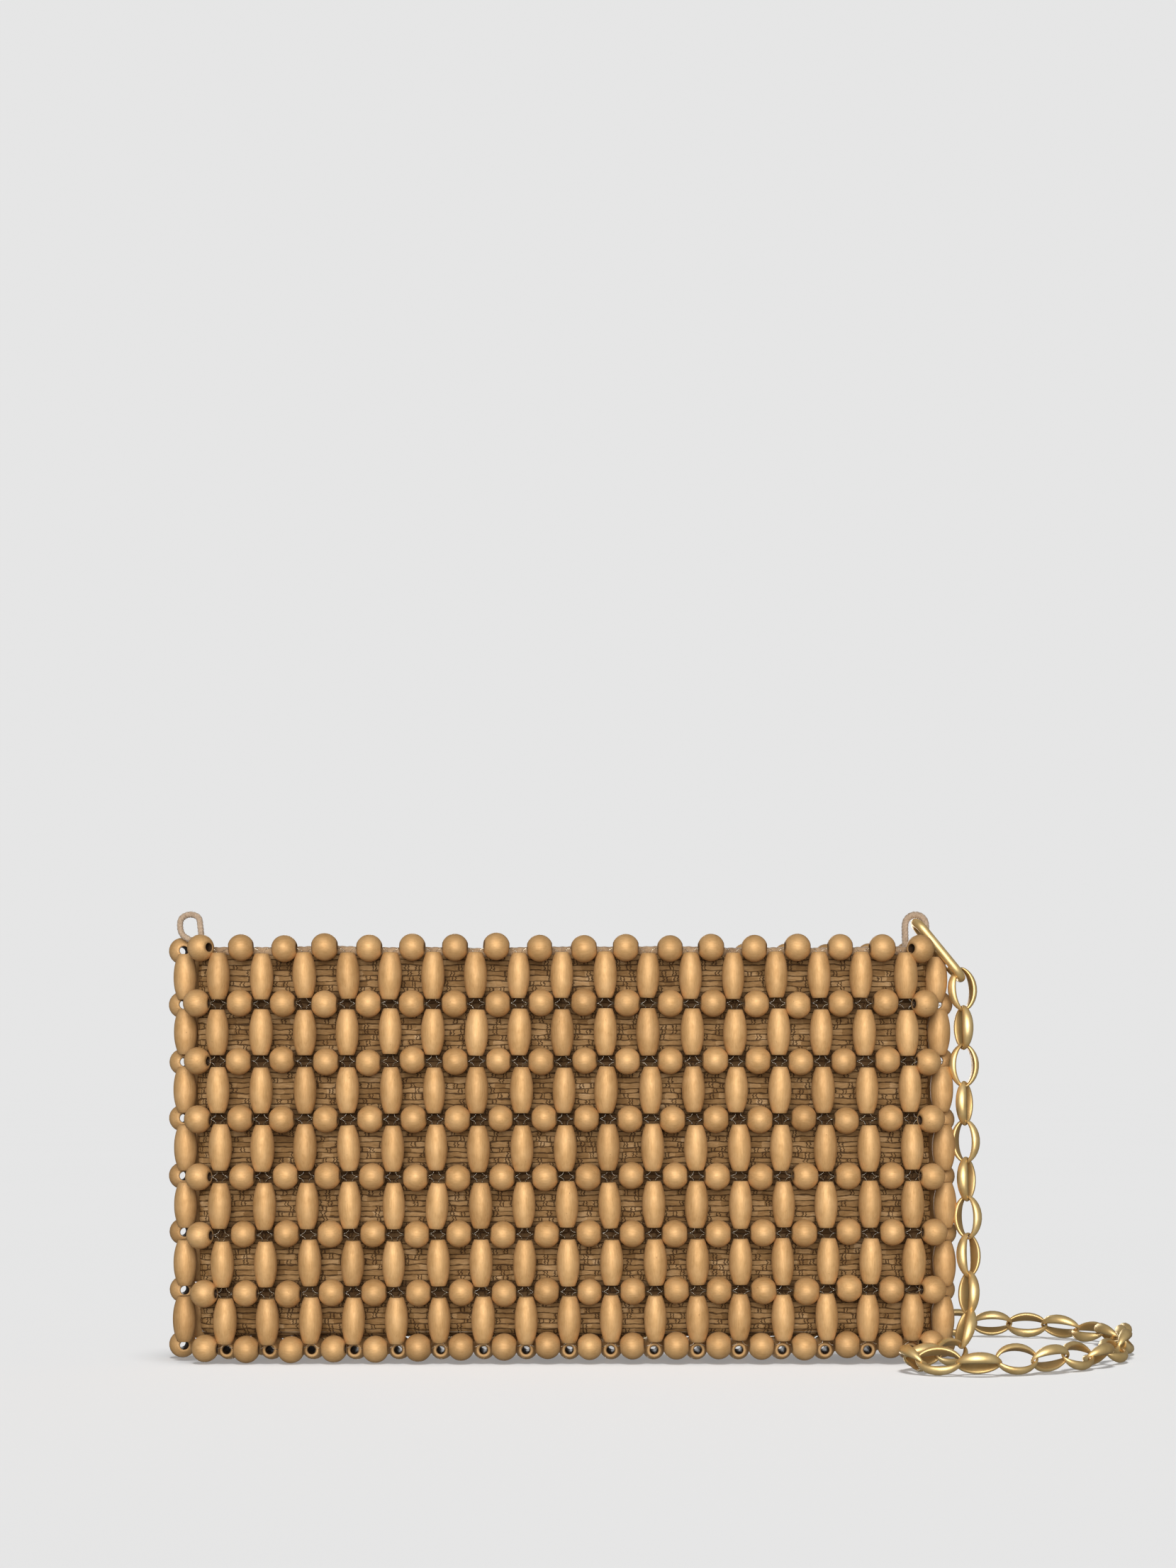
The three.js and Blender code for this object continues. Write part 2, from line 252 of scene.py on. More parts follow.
def spline(points, spacing):
    """Points about spacing apart on a centripetal Catmull-Rom curve through the given points."""
    p = np.asarray(points, float)
    p = np.concatenate([[2 * p[0] - p[1]], p, [2 * p[-1] - p[-2]]])
    out = []
    for i in range(1, len(p) - 2):
        p0, p1, p2, p3 = p[i - 1:i + 3]
        t1 = math.sqrt(max(np.linalg.norm(p1 - p0), 1e-6))
        t2 = t1 + math.sqrt(np.linalg.norm(p2 - p1))
        t3 = t2 + math.sqrt(max(np.linalg.norm(p3 - p2), 1e-6))
        t = np.linspace(t1, t2, 17)[:-1, None]
        a1 = (t1 - t) / t1 * p0 + t / t1 * p1
        a2 = (t2 - t) / (t2 - t1) * p1 + (t - t1) / (t2 - t1) * p2
        a3 = (t3 - t) / (t3 - t2) * p2 + (t - t2) / (t3 - t2) * p3
        b1 = (t2 - t) / t2 * a1 + t / t2 * a2
        b2 = (t3 - t) / (t3 - t1) * a2 + (t - t1) / (t3 - t1) * a3
        out.append((t2 - t) / (t2 - t1) * b1 + (t - t1) / (t2 - t1) * b2)
    line = np.concatenate([*out, p[-2:-1]])
    return respaced(line, spacing)


def arc_lengths(line):
    return np.concatenate([[0.0], np.cumsum(np.linalg.norm(np.diff(line, axis=0), axis=1))])


def respaced(line, spacing):
    s = arc_lengths(line)
    steps = max(2, int(round(s[-1] / spacing)) + 1)
    at = np.linspace(0, s[-1], steps)
    return np.stack([np.interp(at, s, line[:, k]) for k in range(3)], axis=1)


def frames_along(line, first_normal):
    """Tangents and two side vectors at each point, carried along without twist."""
    tangent = normalised(np.gradient(line, axis=0))
    normal = np.empty_like(line)
    normal[0] = normalised(first_normal - tangent[0] * np.dot(first_normal, tangent[0]))
    for i in range(1, len(line)):
        n = normal[i - 1] - tangent[i] * np.dot(normal[i - 1], tangent[i])
        normal[i] = normalised(n)
    return tangent, normal, np.cross(tangent, normal)


def sweep(line, section, first_normal, closed=False):
    """Verts and faces of a tube: section(i, n) gives the (out, side) offsets at point i of n."""
    _, normal, side = frames_along(line, np.asarray(first_normal, float))
    rings = []
    for i in range(len(line)):
        offsets = section(i, len(line))
        rings.append(line[i] + offsets[:, 0:1] * normal[i] + offsets[:, 1:2] * side[i])
    sides = len(rings[0])
    verts = np.concatenate(rings)
    faces = [grid_faces(len(line), sides, closed, True)]
    if not closed:
        last = len(verts) - sides
        faces.append(np.arange(sides)[None, ::-1])
        faces.append(np.arange(last, last + sides)[None, :])
    return verts, faces


def circle(radius, sides):
    a = np.arange(sides) * 2 * math.pi / sides
    return np.stack([radius * np.cos(a), radius * np.sin(a)], axis=1)


def round_wire(radius, sides, ends):
    """A section for sweep: a circle, which closes to a dome over the first and last share of the line."""
    def section(i, n):
        near = min(i, n - 1 - i) / (n - 1)
        scale = 1.0 if near >= ends else math.sqrt(max(1 - (1 - near / ends) ** 2, 0.02))
        return circle(radius * scale, sides)
    return section


def twisted_cord(radius, strands, sides, turns):
    """A section for sweep: strands laid round each other, turning as the cord goes on."""
    a = np.arange(sides) * 2 * math.pi / sides
    def section(i, n):
        phase = turns * 2 * math.pi * i / (n - 1)
        r = radius * (0.84 + 0.16 * np.abs(np.cos(strands * (a - phase) / 2)) ** 0.8)
        return np.stack([r * np.cos(a), r * np.sin(a)], axis=1)
    return section


# ---- Materials ----
class Nodes:
    """Short calls for building one node material."""

    def __init__(self, name):
        self.material = bpy.data.materials.new(name)
        self.material.use_nodes = True
        self.tree = self.material.node_tree
        self.shader = self.tree.nodes["Principled BSDF"]

    def add(self, kind, **settings):
        node = self.tree.nodes.new(kind)
        for key, value in settings.items():
            if key in node.inputs:
                node.inputs[key].default_value = value
            else:
                setattr(node, key, value)
        return node

    def link(self, source, target):
        self.tree.links.new(source, target)

    def place(self, attribute=None):
        """Object coordinates, or a vector attribute of the mesh."""
        if attribute:
            return self.add("ShaderNodeAttribute", attribute_name=attribute).outputs["Vector"]
        return self.add("ShaderNodeTexCoord").outputs["Object"]

    def value_of(self, attribute):
        return self.add("ShaderNodeAttribute", attribute_name=attribute).outputs["Fac"]

    def scaled(self, vector, x, y, z):
        mapping = self.add("ShaderNodeMapping")
        mapping.inputs["Scale"].default_value = (x, y, z)
        self.link(vector, mapping.inputs["Vector"])
        return mapping.outputs["Vector"]

    def noise(self, vector, scale, detail=3.0, roughness=0.55):
        node = self.add("ShaderNodeTexNoise", Scale=scale, Detail=detail, Roughness=roughness)
        self.link(vector, node.inputs["Vector"])
        return node.outputs["Fac"]

    def ramp(self, factor, *stops):
        node = self.add("ShaderNodeValToRGB")
        elements = node.color_ramp.elements
        while len(elements) < len(stops):
            elements.new(0.5)
        for element, (position, colour) in zip(elements, stops):
            element.position = position
            element.color = (*colour, 1.0)
        self.link(factor, node.inputs["Fac"])
        return node.outputs["Color"]

    def math(self, operation, a, b=None):
        node = self.add("ShaderNodeMath", operation=operation)
        for socket, value in zip(node.inputs, (a, b)):
            if value is None:
                continue
            if isinstance(value, (int, float)):
                socket.default_value = value
            else:
                self.link(value, socket)
        return node.outputs["Value"]

    def mix(self, factor, a, b, blend="MIX"):
        node = self.add("ShaderNodeMix", data_type="RGBA", blend_type=blend)
        for socket, value in ((node.inputs["Factor"], factor), (node.inputs["A"], a), (node.inputs["B"], b)):
            if isinstance(value, (int, float)):
                socket.default_value = value
            elif isinstance(value, tuple):
                socket.default_value = (*value, 1.0)
            else:
                self.link(value, socket)
        return node.outputs["Result"]

    def white(self, x, y):
        """A random number for each pair of whole numbers."""
        pair = self.add("ShaderNodeCombineXYZ")
        for socket, value in zip(pair.inputs, (x, y)):
            if isinstance(value, float):
                socket.default_value = value
            else:
                self.link(value, socket)
        node = self.add("ShaderNodeTexWhiteNoise", noise_dimensions="2D")
        self.link(pair.outputs["Vector"], node.inputs["Vector"])
        return node.outputs["Value"]

    def spread(self, factor, low, high):
        """Takes a factor from 0..1 to low..high."""
        node = self.add("ShaderNodeMapRange")
        node.inputs["To Min"].default_value = low
        node.inputs["To Max"].default_value = high
        self.link(factor, node.inputs["Value"])
        return node.outputs["Result"]

    def bump(self, height, distance, strength):
        node = self.add("ShaderNodeBump", Strength=strength, Distance=distance)
        self.link(height, node.inputs["Height"])
        return node.outputs["Normal"]

    def surface(self, colour, roughness, normal=None, **fixed):
        """Links what varies to the shader, and puts each fixed value on the shader's own socket."""
        self.link(colour, self.shader.inputs["Base Color"])
        self.link(roughness, self.shader.inputs["Roughness"])
        if normal is not None:
            self.link(normal, self.shader.inputs["Normal"])
        for key, value in fixed.items():
            self.shader.inputs[key.replace("_", " ")].default_value = value
        return self.material


def gold_wood():
    """Satin gold paint over turned wood: faint grain, a few pits, and a dark bore that is partly bare wood
    and partly painted shade.
    """
    m = Nodes("gold_painted_wood")
    local = m.place("bead_local")
    tone = m.value_of("bead_tone")
    bore = m.value_of("bead_bore")
    grain = m.noise(m.scaled(local, 1.5, 1.5, 0.16), 1.5, detail=5, roughness=0.65)
    cloud = m.noise(local, 0.22, detail=2)
    shade = m.math("ADD", m.math("MULTIPLY", grain, 0.5), m.math("MULTIPLY", cloud, 0.5))
    paint = m.ramp(shade, (0.3, (0.48, 0.268, 0.098)), (0.5, (0.585, 0.345, 0.142)),
                   (0.72, (0.67, 0.412, 0.186)))
    light = m.ramp(tone, (0.0, (0.86, 0.84, 0.82)), (0.5, (1.0, 1.0, 1.0)), (1.0, (1.09, 1.12, 1.16)))
    paint = m.mix(1.0, paint, light, "MULTIPLY")
    spots = m.add("ShaderNodeTexVoronoi", Scale=0.55, Randomness=1.0)
    m.link(local, spots.inputs["Vector"])
    pit = m.ramp(spots.outputs["Distance"], (0.035, (1, 1, 1)), (0.075, (0, 0, 0)))
    rare = m.ramp(m.noise(local, 0.35, detail=1), (0.56, (0, 0, 0)), (0.6, (1, 1, 1)))
    pit = m.math("MULTIPLY", pit, rare)
    paint = m.mix(m.math("MULTIPLY", pit, 0.6), paint, (0.20, 0.10, 0.04))
    # The bore and its rim go dark: partly bare wood, partly painted shade in the hole.
    colour = m.mix(bore, paint, (0.050, 0.024, 0.010))
    sheen = m.noise(m.scaled(local, 1.6, 1.6, 0.5), 1.0, detail=4, roughness=0.7)
    roughness = m.spread(sheen, 0.38, 0.80)
    fine = m.noise(m.scaled(local, 2.4, 2.4, 1.1), 1.0, detail=4, roughness=0.65)
    height = m.math("ADD", m.math("MULTIPLY", grain, 0.7), m.math("MULTIPLY", fine, 0.6))
    height = m.math("SUBTRACT", height, m.math("MULTIPLY", pit, 1.4))
    return m.surface(colour, roughness, m.bump(height, 0.00010, 0.8), Metallic=0.42,
                     Specular_IOR_Level=0.35)


def antique_brass():
    """Plated brass, worn bright on its high edges and browner in the hollows."""
    m = Nodes("antique_brass")
    place = m.place()
    cloud = m.noise(place, 150, detail=3)
    fine = m.noise(place, 2600, detail=3)
    hollow = m.value_of("metal_hollow")
    metal = m.ramp(cloud, (0.32, (0.72, 0.49, 0.20)), (0.55, (0.84, 0.61, 0.275)), (0.75, (0.92, 0.70, 0.36)))
    metal = m.mix(m.math("MULTIPLY", hollow, 0.6), metal, (0.34, 0.18, 0.045))
    wear = m.math("ADD", m.math("MULTIPLY", cloud, 0.6), m.math("MULTIPLY", fine, 0.4))
    roughness = m.spread(wear, 0.38, 0.54)
    return m.surface(metal, roughness, m.bump(fine, 0.00002, 0.15), Metallic=0.75)


def straw_weave():
    """Flat straw woven with thin dark thread: streaked rows, gaps between, stitches in pairs, and painted
    shade in bands behind the rows of beads.
    """
    m = Nodes("woven_straw")
    cloth = m.place("cloth")
    axes = m.add("ShaderNodeSeparateXYZ")
    m.link(cloth, axes.inputs["Vector"])
    sway = m.noise(m.scaled(cloth, 0.10, 0.35, 1.0), 1.0, detail=2)
    high = m.math("ADD", axes.outputs["Y"], m.spread(sway, -1.1, 1.1))
    rows = m.math("DIVIDE", high, STRAW_PITCH)
    row = m.math("FLOOR", rows)
    level = m.math("PINGPONG", rows, 0.5)
    run = m.math("DIVIDE", axes.outputs["X"], STITCH_PITCH)
    run = m.math("ADD", run, m.math("MULTIPLY", m.white(row, 0.5), 7.0))
    run = m.math("ADD", run, m.spread(m.noise(m.scaled(cloth, 0.5, 1.5, 1.0), 1.0, detail=1), -0.22, 0.22))
    cell = m.math("FLOOR", run)
    along = m.math("FRACT", run)
    first = m.math("ABSOLUTE", m.math("SUBTRACT", along, 0.22))
    second = m.math("ABSOLUTE", m.math("SUBTRACT", along, 0.52))
    thread = m.ramp(m.math("MINIMUM", first, second), (0.035, (1, 1, 1)), (0.075, (0, 0, 0)))
    thread = m.math("MULTIPLY", thread, m.math("GREATER_THAN", m.white(cell, row), 0.5))
    broken = m.noise(m.scaled(cloth, 0.55, 1.1, 1.0), 1.0, detail=2)
    edge = m.math("SUBTRACT", level, m.spread(broken, -0.10, 0.12))
    gap = m.ramp(edge, (0.035, (1, 1, 1)), (0.13, (0, 0, 0)))
    dark = m.math("MAXIMUM", gap, thread)
    streak = m.noise(m.scaled(cloth, 0.30, 5.5, 1.0), 1.0, detail=5, roughness=0.75)
    patch = m.noise(m.scaled(cloth, 0.07, 0.16, 1.0), 1.0, detail=2)
    tone = m.math("ADD", m.math("MULTIPLY", streak, 0.55), m.math("MULTIPLY", m.white(row, cell), 0.14))
    tone = m.math("ADD", tone, m.math("MULTIPLY", patch, 0.35))
    straw = m.ramp(tone, (0.30, (0.065, 0.029, 0.007)), (0.46, (0.190, 0.100, 0.034)),
                   (0.60, (0.320, 0.188, 0.078)), (0.80, (0.66, 0.46, 0.27)))
    colour = m.mix(m.math("MULTIPLY", dark, 0.85), straw, (0.030, 0.012, 0.003))
    # Painted shade: the straw is darkened in bands where the rows of beads shade it.
    colour = m.mix(m.math("MULTIPLY", m.value_of("painted_bead_shade"), 0.72), colour, (0.035, 0.015, 0.004))
    height = m.math("SUBTRACT", m.math("MULTIPLY", streak, 0.5), dark)
    return m.surface(colour, m.spread(streak, 0.5, 0.8), m.bump(height, 0.00025, 0.7),
                     Specular_IOR_Level=0.12)


def cotton(name, dark, light, scale=900):
    """Matt cotton: fine yarn with lighter fibre ends."""
    m = Nodes(name)
    place = m.place()
    yarn = m.noise(place, scale, detail=4, roughness=0.7)
    patch = m.noise(place, 120, detail=2)
    both = m.math("ADD", m.math("MULTIPLY", yarn, 0.6), m.math("MULTIPLY", patch, 0.4))
    colour = m.ramp(both, (0.32, dark), (0.68, light))
    return m.surface(colour, m.spread(yarn, 0.75, 0.95), m.bump(yarn, 0.00025, 0.8),
                     Sheen_Weight=0.35, Sheen_Roughness=0.5)


def lining_cloth():
    """Plain-woven lining with a fine square weave."""
    m = Nodes("lining_cloth")
    cloth = m.place("cloth")
    warp = m.add("ShaderNodeTexWave", wave_type="BANDS", bands_direction="X", Scale=0.9, Distortion=0.4)
    weft = m.add("ShaderNodeTexWave", wave_type="BANDS", bands_direction="Y", Scale=0.9, Distortion=0.4)
    m.link(cloth, warp.inputs["Vector"])
    m.link(cloth, weft.inputs["Vector"])
    weave = m.math("MULTIPLY", warp.outputs["Fac"], weft.outputs["Fac"])
    tone = m.math("ADD", m.math("MULTIPLY", weave, 0.6), m.math("MULTIPLY", m.noise(cloth, 0.3), 0.4))
    colour = m.ramp(tone, (0.15, (0.20, 0.135, 0.075)), (0.7, (0.40, 0.295, 0.185)))
    return m.surface(colour, m.spread(weave, 0.7, 0.85), m.bump(weave, 0.0001, 0.6), Sheen_Weight=0.2)


def nylon_line():
    """Clear monofilament, slightly yellowed."""
    m = Nodes("clear_nylon")
    cloud = m.noise(m.place(), 400, detail=2)
    colour = m.ramp(cloud, (0.3, (0.50, 0.40, 0.27)), (0.7, (0.68, 0.58, 0.43)))
    return m.surface(colour, m.spread(cloud, 0.06, 0.16), Transmission_Weight=0.9, IOR=1.53)


def snap_metal():
    """Satin pressed brass for the magnetic snap."""
    m = Nodes("snap_metal")
    place = m.place()
    rings = m.noise(place, 700, detail=3)
    colour = m.ramp(rings, (0.3, (0.40, 0.31, 0.17)), (0.7, (0.58, 0.47, 0.29)))
    return m.surface(colour, m.spread(rings, 0.28, 0.45), m.bump(rings, 0.00003, 0.4), Metallic=1.0)


GOLD_WOOD = gold_wood()
BRASS = antique_brass()
STRAW = straw_weave()
HEM_COTTON = cotton("hem_cotton", (0.15, 0.08, 0.035), (0.50, 0.33, 0.185))
LOOP_COTTON = cotton("loop_cotton", (0.22, 0.14, 0.08), (0.55, 0.41, 0.29), 1400)
LINING = lining_cloth()
NYLON = nylon_line()
SNAP = snap_metal()


# ---- Camera ----
def make_camera():
    """A level view of the front, from the right of its middle, framed with the bag low in the picture."""
    data = bpy.data.cameras.new("camera")
    camera = bpy.data.objects.new("camera", data)
    camera.location = (0.00925, -0.811, 0.100)
    camera.rotation_euler = (math.pi / 2, 0, 0)
    data.sensor_width = 36.0
    data.lens = 52.08
    data.shift_y = 0.1885
    data.clip_start = 0.01
    bpy.context.scene.collection.objects.link(camera)
    bpy.context.scene.camera = camera


make_camera()


# ---- The strap: chain and its two clasps ----
def link_outline(a):
    """The middle of a link's wire at angle a round the link: a pointed oval."""
    return LINK_HALF_WIDTH * math.sin(a) * abs(math.sin(a)) ** 0.3, LINK_HALF * math.cos(a)


def link_template():
    """One navette link in XZ, long axis on Z: pointed oval, limbs wide and domed outside, flat inside."""
    steps = 30
    rings, hollow = [], []
    for i in range(steps):
        a = i * 2 * math.pi / steps
        swell = abs(math.sin(a)) ** 1.4
        x, z = link_outline(a)
        x2, z2 = link_outline(a + 1e-3)
        tangent = normalised(np.array([x2 - x, z2 - z]))
        outward = np.array([-tangent[1], tangent[0]])
        if np.dot(outward, [x, z]) < 0:
            outward = -outward
        half_width = 0.5 + 1.6 * swell
        dome = 0.42 + 1.55 * swell ** 1.2
        ring = []
        for k in range(7):
            b = math.pi * (k / 6 - 0.5)
            ring.append((dome * math.cos(b) ** 0.9 if k not in (0, 6) else 0.0, half_width * math.sin(b)))
        for share in (0.7, 0.0, -0.7):
            ring.append((-0.30 + (0.16 * swell if share == 0.0 else 0.0), half_width * share))
        for out, side in ring:
            rings.append((x + outward[0] * out, side, z + outward[1] * out))
        hollow += [0.35] + [0.0] * 5 + [0.35] + [0.85, 1.0, 0.85]
    return np.array(rings), grid_faces(steps, 10, True, True), np.array(hollow)


def make_chain():
    """Links one pitch apart along the route, each turned a quarter from the one before."""
    line = spline(CHAIN_ROUTE, 1.0)
    s = arc_lengths(line)
    _, normals, _ = frames_along(line, np.array([0.0, 1.0, 0.0]))
    verts, faces, hollow = link_template()
    at = lambda d, data: np.array([np.interp(d, s, data[:, k]) for k in range(3)])
    builder = Builder()
    rng = np.random.default_rng(3)
    count = int((s[-1] + CHAIN_LEAD) / LINK_PITCH) + 1
    lean = 0.0
    for i in range(count):
        start = i * LINK_PITCH - CHAIN_LEAD
        low = np.array(FIRST_LINK_TOP) if i == 0 else at(start, line)
        high = at(start + LINK_PITCH, line)
        if i == count - 1:
            high = low + normalised(high - at(start - 4, line)) * LINK_PITCH
        direction = normalised(high - low)
        centre = (low + high) / 2
        normal = at(start + LINK_PITCH / 2, normals)
        normal = normalised(normal - direction * np.dot(normal, direction))
        side = np.cross(direction, normal)
        laid = 1.0 - smoothstep((centre[2] - 6.0) / 22.0)
        up_angle = math.atan2(np.dot(UP, side), np.dot(UP, normal))
        wanted = up_angle + math.pi / 4
        wanted += round((lean - wanted) / (math.pi / 2)) * math.pi / 2
        lean = laid * wanted
        hanging = HANGING_TURNS[min(i, len(HANGING_TURNS) - 1)]
        turned = hanging * (1 - laid) + rng.uniform(-7, 7) * (0.35 + 3 * laid)
        angle = lean + (i % 2) * math.pi / 2 + math.radians(turned)
        out = normal * math.cos(angle) + side * math.sin(angle)
        turn = np.stack([np.cross(out, direction), out, direction], axis=1)
        placed = verts @ turn.T + centre
        if laid > 0.9 or placed[:, 2].min() < LINK_CLEARANCE:
            placed[:, 2] += LINK_CLEARANCE - placed[:, 2].min()
        builder.add(placed, [faces], metal_hollow=hollow)
    chain = builder.make("chain_strap", BRASS)
    return chain, line, s[-1]


CLASPS = {
    "right": {"centre": (134.4, 0.0, 146.2), "turn": rotation((0, 1, 0), -39.3) @ rotation((0, 0, 1), 180)},
    "left": {"centre": (-91.0, 38.0, 1.8), "turn": rotation((0, 1, 0), -90)},
}


def clasp_arc(centre_z, start, finish):
    a = np.linspace(start, finish, 17)
    return np.stack([0 * a, CLASP_HALF_WIDTH * np.cos(a), centre_z + CLASP_HALF_WIDTH * np.sin(a)], axis=1)


def put(verts, place):
    return verts @ place["turn"].T + np.array(place["centre"])


def limb(z):
    """A point on the clasp's gate side at height z."""
    return np.array([[0, -CLASP_HALF_WIDTH, z]])


def clasp_ear(side):
    """One of the two cheeks that hold the hinge pin: a rounded plate with an eased outer edge."""
    foot = GATE_HINGE - 2.6
    arc = [math.pi * k / 12 for k in range(13)]
    outline = [(EAR_R * math.cos(a), GATE_HINGE + 0.2 + EAR_R * math.sin(a)) for a in arc]
    outline = [(EAR_R, foot), *outline, (-EAR_R, foot)]
    ring = []
    for x, inset in EAR_LAYERS:
        shrink = (EAR_R - inset) / EAR_R
        for y, z in outline:
            ring.append((side * x, -CLASP_HALF_WIDTH + y * shrink, GATE_HINGE + (z - GATE_HINGE) * shrink))
    n = len(outline)
    faces = [grid_faces(3, n, False, True), np.arange(n)[None, ::-1], np.arange(2 * n, 3 * n)[None, :]]
    if side < 0:
        faces = [group[:, ::-1] for group in faces]
    return np.array(ring), faces


def make_clasp(side):
    """An oval spring-gate ring: body with two ears, a gate with a tongue, and a riveted hinge pin."""
    place = CLASPS[side]
    line = np.concatenate([limb(GATE_TOP + 0.3), limb(GATE_TOP + 2), clasp_arc(CLASP_STRAIGHT, math.pi, 0),
                           clasp_arc(-CLASP_STRAIGHT, 0, -math.pi), limb(GATE_HINGE - 2.0)])
    line = respaced(line, 0.6)
    verts, faces = sweep(line, round_wire(WIRE_R, 20, ends=0.012), (1, 0, 0))
    body = Builder()
    body.add(put(verts, place), faces, metal_hollow=0.0)
    for ear in (-1, 1):
        verts, faces = clasp_ear(ear)
        body.add(put(verts, place), faces, metal_hollow=0.0)
    body = body.make(f"{side}_clasp_ring", BRASS)
    gate = Builder()
    line = np.concatenate([limb(GATE_HINGE + 1.7), limb(0), limb(GATE_TOP)])
    verts, faces = sweep(respaced(line, 0.35), round_wire(WIRE_R * 0.96, 20, ends=0.06), (1, 0, 0))
    gate.add(put(verts, place), faces, metal_hollow=0.0)
    line = np.concatenate([limb(GATE_HINGE - 0.9), limb(GATE_HINGE + 2.4)])
    tongue = lambda i, n: circle(1.0, 16) * np.array([0.6, 0.95])
    verts, faces = sweep(respaced(line, 0.5), tongue, (1, 0, 0))
    gate.add(put(verts, place), faces, metal_hollow=0.4)
    gate = gate.make(f"{side}_clasp_spring_gate", BRASS)
    pin = Builder()
    line = np.array([[x, -CLASP_HALF_WIDTH, GATE_HINGE] for x, _ in PIN_PROFILE])
    head = lambda i, n: circle(PIN_PROFILE[i][1], 14)
    verts, faces = sweep(line, head, (0, 1, 0))
    pin.add(put(verts, place), faces, metal_hollow=0.0)
    pin = pin.make(f"{side}_clasp_hinge_pin", BRASS)
    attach(body, "bag")
    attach(pin, "bag")
    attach(gate, f"{side}_gate")
    for piece, node in ((body, "body"), (gate, "gate"), (pin, "pin")):
        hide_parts(f"{side}_clasp_{node}")
    return [body, gate, pin]


chain, chain_line, chain_length = make_chain()
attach(chain, "bag")
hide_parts("strap_chain")
clasp_pieces = make_clasp("right") + make_clasp("left")


# ---- The bead net ----
def round_bead():
    """A round bead about Z, drilled, with a slightly eased rim."""
    rim = math.asin(ROUND_BORE_R / ROUND_R)
    profile = []
    for a in np.linspace(rim, math.pi - rim, 13):
        profile.append((ROUND_R * math.sin(a), ROUND_R * math.cos(a)))
    mouth = ROUND_R * math.cos(rim)
    profile += [(ROUND_BORE_R - 0.18, -mouth + 0.3), (ROUND_BORE_R - 0.18, mouth - 0.3)]
    # How dark the bore is drawn, partly bare wood and partly painted shade: a little on the rim, fully
    # inside.
    bore = [0.25] + [0.0] * 11 + [0.25, 1.0, 1.0]
    return np.array(profile), np.array(bore)


def barrel_bead():
    """A barrel bead about Z: bulged side, flat ends, drilled."""
    profile = [(BARREL_BORE_R, BARREL_HALF), (BARREL_END_R - 0.25, BARREL_HALF)]
    for t in np.linspace(1, -1, 13):
        bulge = 1 - abs(t) ** 2.15
        profile.append((BARREL_END_R + (BARREL_R - BARREL_END_R) * bulge, t * (BARREL_HALF - 0.2)))
    profile += [(BARREL_END_R - 0.25, -BARREL_HALF), (BARREL_BORE_R, -BARREL_HALF)]
    profile += [(BARREL_BORE_R - 0.15, -BARREL_HALF + 0.4), (BARREL_BORE_R - 0.15, BARREL_HALF - 0.4)]
    # How dark the bore is drawn, partly bare wood and partly painted shade: half on the bore's rim, fully
    # inside.
    bore = [0.5] + [0.0] * 15 + [0.5, 1.0, 1.0]
    return np.array(profile), np.array(bore)


class BeadSet:
    """One bead shape, which it copies into builders, each with its own size, tone and grain."""

    def __init__(self, profile_and_bore, sides):
        profile, bore = profile_and_bore
        self.verts, self.faces = lathe(profile, sides)
        self.bore = np.repeat(bore, sides)

    def add(self, builder, centre, turn, length=1.0, width=1.0):
        shape = self.verts * np.array([width, width, length])
        spin = rotation(UP, RNG.uniform(0, 360))
        tone = float(np.clip(RNG.normal(0.5, 0.2), 0, 1))
        local = self.verts + RNG.uniform(-400, 400, 3)
        builder.add(shape @ (turn @ spin).T + centre, [self.faces], bead_local=local, bead_tone=tone,
                    bead_bore=self.bore)


ROUNDS = BeadSet(round_bead(), BEAD_SIDES)
BARRELS = BeadSet(barrel_bead(), BEAD_SIDES)


def row_z(row):
    """Height of a row of round beads, 1 at the bottom."""
    return ROW_HEIGHTS[row - 1]


def barrel_z(row):
    """Height of the middle of the barrels over a row of round beads."""
    return (row_z(row) + row_z(row + 1)) / 2


def net_drift(u, height):
    """How far the strung net has pulled out of true at u (-1 left .. 1 right) and height (0 .. 1)."""
    down = 1 - height
    dx = 2.4 * smoothstep(down * 1.1) + 1.5 * u * math.sin(math.pi * down)
    dz = 0.9 * (1 + u) * smoothstep((down - 0.35) / 0.65)
    return dx, dz


def net_place(x, half, z, y):
    u = x / half
    dx, dz = net_drift(u, z / row_z(ROUND_ROWS))
    return np.array([x + dx, y, z + dz])


def jitter(scale):
    return RNG.normal(0, scale, 3)


def tilt(degrees):
    return rotation(RNG.normal(0, 1, 3), RNG.normal(0, degrees))


class Face:
    """One face of the net: how many beads its rows hold, and where they stand."""

    def __init__(self, name, y, pitch, columns, rounds):
        self.name = name
        self.y = y
        self.pitch = pitch
        self.columns = columns
        self.rounds = rounds
        self.half = columns / 2 * pitch

    def x(self, i, count):
        """Where bead i of a row of count beads stands along the bag."""
        return (i - (count - 1) / 2) * self.pitch


FRONT = Face("front", -NET_Y, FRONT_PITCH, FRONT_COLUMNS, FRONT_COLUMNS + 1)
BACK = Face("back", NET_Y, BACK_PITCH, BACK_COLUMNS, BACK_COLUMNS - 1)


